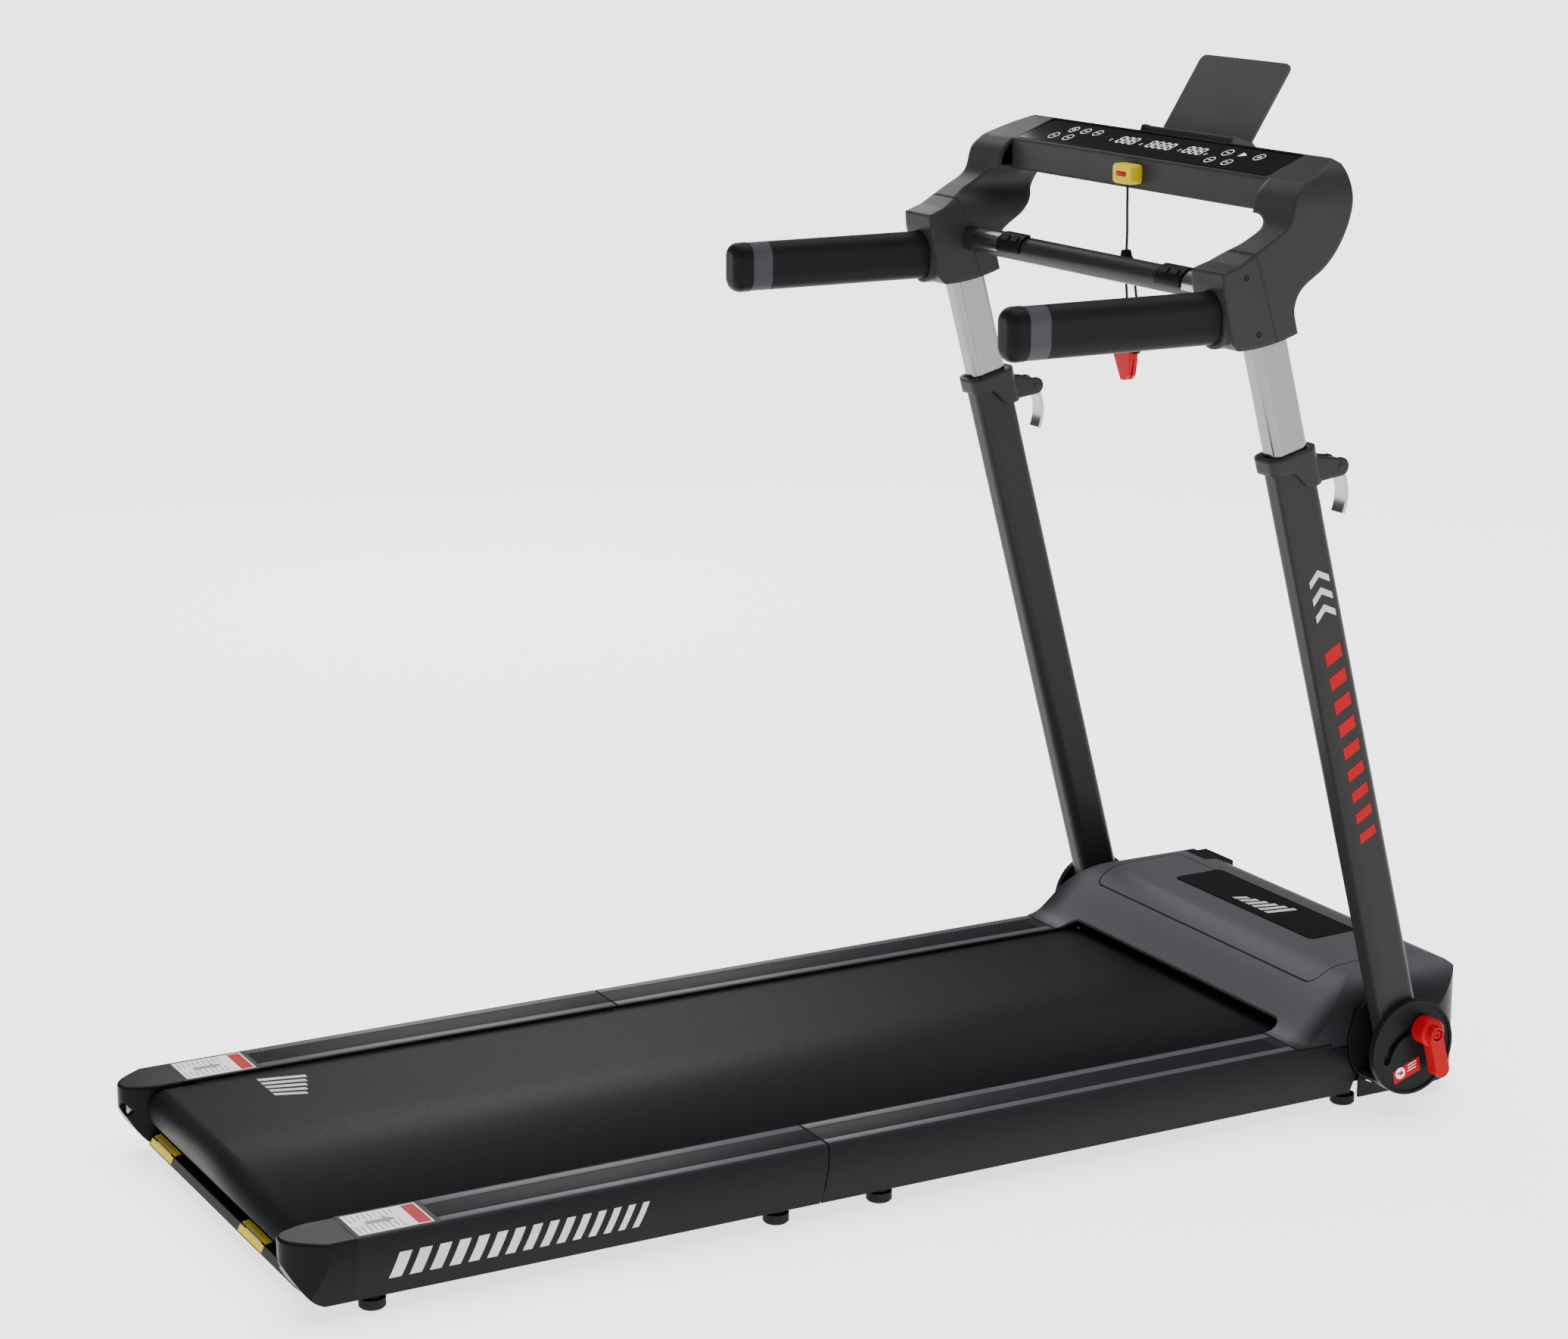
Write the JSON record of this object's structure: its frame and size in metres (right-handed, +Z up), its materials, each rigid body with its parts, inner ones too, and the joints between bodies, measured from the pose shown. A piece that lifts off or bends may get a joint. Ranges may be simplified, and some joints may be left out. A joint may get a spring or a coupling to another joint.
{
  "type": "folding treadmill",
  "caption": "Folding motorised treadmill with a split running deck, a raked height-adjustable mast, a curved console with side grips, a thumb-button crossbar, tablet rest and safety key.",
  "frame": {"origin": "on the floor, under the centre of the bounding box", "axes": "+X towards the user's right, +Y forwards to the console, +Z up"},
  "size_m": [0.7146, 1.4442, 1.164],
  "materials": {
    "frame_steel": "satin black powder coat",
    "board_laminate": "waxed fibreboard",
    "rubber": "moulded rubber",
    "rail_plastic": "fine matte grain",
    "running_belt": "woven and rubber-faced, fine texture",
    "steel": "bright zinc plate",
    "motor_paint": "black paint",
    "circuit_board": "green solder mask",
    "black_plastic": "fine matte grain",
    "hood_plastic": "fine matte grain, lighter slope",
    "gloss_black": "polished",
    "red_plastic": "smooth",
    "key_plastic": "smooth yellow",
    "wheel_plastic": "hard moulded",
    "mast_paint": "semi-gloss warm grey",
    "chrome": "mirror",
    "console_plastic": "satin warm grey",
    "foam": "closed-cell foam",
    "black_cord": "braided cord"
  },
  "bodies": {
    "front_deck": {"front_frame": "frame_steel", "front_running_board": "board_laminate", "front_cushions": "rubber", "front_feet": "rubber", "front_rail_covers": "rail_plastic", "belt_front": "running_belt", "front_axle": "steel", "motor_can": "motor_paint", "drive_belt": "rubber", "control_board": "circuit_board", "belly_pan": "black_plastic", "motor_hood": "hood_plastic", "hood_panel": "gloss_black", "hood_catch": "black_plastic", "power_inlet": "black_plastic", "pivot_covers": "rail_plastic", "front_fasteners": "steel"},
    "front_roller": {"front_roller": "steel"},
    "motor_rotor": {"motor_rotor": "steel"},
    "power_rocker": {"power_rocker": "red_plastic"},
    "transport_wheels": {"transport_wheels": "wheel_plastic"},
    "rear_deck": {"rear_frame": "frame_steel", "rear_running_board": "board_laminate", "rear_cushions": "rubber", "rear_feet": "rubber", "rear_rail_covers": "rail_plastic", "belt_rear": "running_belt", "rear_axle": "steel", "tension_bolts": "steel", "rear_end_caps": "black_plastic", "rear_beam_cover": "black_plastic"},
    "rear_roller": {"rear_roller": "steel"},
    "hinge_link": {"hinge_links": "steel"},
    "mast": {"mast_tubes": "mast_paint", "mast_collars": "black_plastic"},
    "clamp_lever_r": {"clamp_lever_r": "chrome"},
    "clamp_lever_l": {"clamp_lever_l": "chrome"},
    "lock_knob_r": {"lock_knob_r": "red_plastic"},
    "lock_knob_l": {"lock_knob_l": "red_plastic"},
    "console": {"chrome_tubes": "chrome", "console_shell": "console_plastic", "handle_sockets": "console_plastic", "screen_glass": "gloss_black", "handle_bars": "frame_steel", "grips": "foam", "grip_caps": "rubber", "crossbar": "mast_paint", "pulse_plates": "chrome", "button_pads": "black_plastic", "tablet_tray": "black_plastic"},
    "speed_up_button": {"speed_up_button": "black_plastic"},
    "speed_down_button": {"speed_down_button": "black_plastic"},
    "start_button": {"start_button": "black_plastic"},
    "stop_button": {"stop_button": "black_plastic"},
    "tablet_plate": {"tablet_plate": "black_plastic"},
    "safety_key": {"safety_key": "key_plastic", "key_cord": "black_cord", "loop_cord": "black_cord", "cord_bead": "black_plastic", "key_clip": "red_plastic"}
  },
  "joints": [
    {"name": "deck_fold", "type": "hinge", "parent": "front_deck", "child": "rear_deck", "pos_m": [0, -0.1279, 0.088], "axis": [-1, 0, 0], "range_deg": [0, 178]},
    {"name": "hinge_link_swing", "type": "hinge", "parent": "front_deck", "child": "hinge_link", "pos_m": [0, -0.1279, 0.088], "axis": [-1, 0, 0], "range_deg": [0, 89]},
    {"name": "mast_fold", "type": "hinge", "parent": "front_deck", "child": "mast", "pos_m": [0, 0.6051, 0.065], "axis": [1, 0, 0], "range_deg": [0, 50]},
    {"name": "mast_extend", "type": "slide", "parent": "mast", "child": "console", "axis": [0, -0.2588, 0.9659], "range_m": [-0.12, 0.06]},
    {"name": "clamp_lever_r_open", "type": "hinge", "parent": "mast", "child": "clamp_lever_r", "pos_m": [0.303, 0.47873, 0.75687], "axis": [1, 0, 0], "range_deg": [0, 110]},
    {"name": "clamp_lever_l_open", "type": "hinge", "parent": "mast", "child": "clamp_lever_l", "pos_m": [-0.303, 0.47873, 0.75687], "axis": [1, 0, 0], "range_deg": [0, 110]},
    {"name": "lock_knob_r_turn", "type": "hinge", "parent": "mast", "child": "lock_knob_r", "pos_m": [0.34, 0.6121, 0.10469], "axis": [1, 0, 0], "continuous": true},
    {"name": "lock_knob_l_turn", "type": "hinge", "parent": "mast", "child": "lock_knob_l", "pos_m": [-0.34, 0.6121, 0.10469], "axis": [1, 0, 0], "continuous": true},
    {"name": "tablet_tilt", "type": "hinge", "parent": "console", "child": "tablet_plate", "pos_m": [0, 0.5101, 1.072], "axis": [1, 0, 0], "range_deg": [-10, 30]},
    {"name": "key_pull", "type": "slide", "parent": "console", "child": "safety_key", "axis": [0, -1, 0], "range_m": [0, 0.018]},
    {"name": "motor_spin", "type": "hinge", "parent": "front_deck", "child": "motor_rotor", "pos_m": [0.1, 0.6481, 0.084], "axis": [1, 0, 0], "continuous": true},
    {"name": "front_roller_spin", "type": "hinge", "parent": "front_deck", "child": "front_roller", "pos_m": [0, 0.5441, 0.0612], "axis": [1, 0, 0], "continuous": true},
    {"name": "rear_roller_spin", "type": "hinge", "parent": "rear_deck", "child": "rear_roller", "pos_m": [0, -0.6759, 0.0612], "axis": [1, 0, 0], "continuous": true},
    {"name": "transport_wheels_spin", "type": "hinge", "parent": "front_deck", "child": "transport_wheels", "pos_m": [0, 0.6841, 0.024], "axis": [1, 0, 0], "continuous": true},
    {"name": "power_rocker_tip", "type": "hinge", "parent": "front_deck", "child": "power_rocker", "pos_m": [0.19, 0.7131, 0.062], "axis": [1, 0, 0], "range_deg": [0, 16]},
    {"name": "speed_up_press", "type": "slide", "parent": "console", "child": "speed_up_button", "axis": [0, 0.7071, -0.7071], "range_m": [0, 0.001], "stiffness_N_per_m": 200, "springref_m": -0.0015},
    {"name": "speed_down_press", "type": "slide", "parent": "console", "child": "speed_down_button", "axis": [0, 0.7071, -0.7071], "range_m": [0, 0.001], "stiffness_N_per_m": 200, "springref_m": -0.0015},
    {"name": "start_press", "type": "slide", "parent": "console", "child": "start_button", "axis": [0, 0.7071, -0.7071], "range_m": [0, 0.001], "stiffness_N_per_m": 200, "springref_m": -0.0015},
    {"name": "stop_press", "type": "slide", "parent": "console", "child": "stop_button", "axis": [0, 0.7071, -0.7071], "range_m": [0, 0.001], "stiffness_N_per_m": 200, "springref_m": -0.0015}
  ],
  "couplings": [
    {"joint": "hinge_link_swing", "follows": "deck_fold", "ratio": 0.5},
    {"joint": "front_roller_spin", "follows": "motor_spin", "ratio": 0.39286},
    {"joint": "rear_roller_spin", "follows": "motor_spin", "ratio": 0.39286}
  ]
}
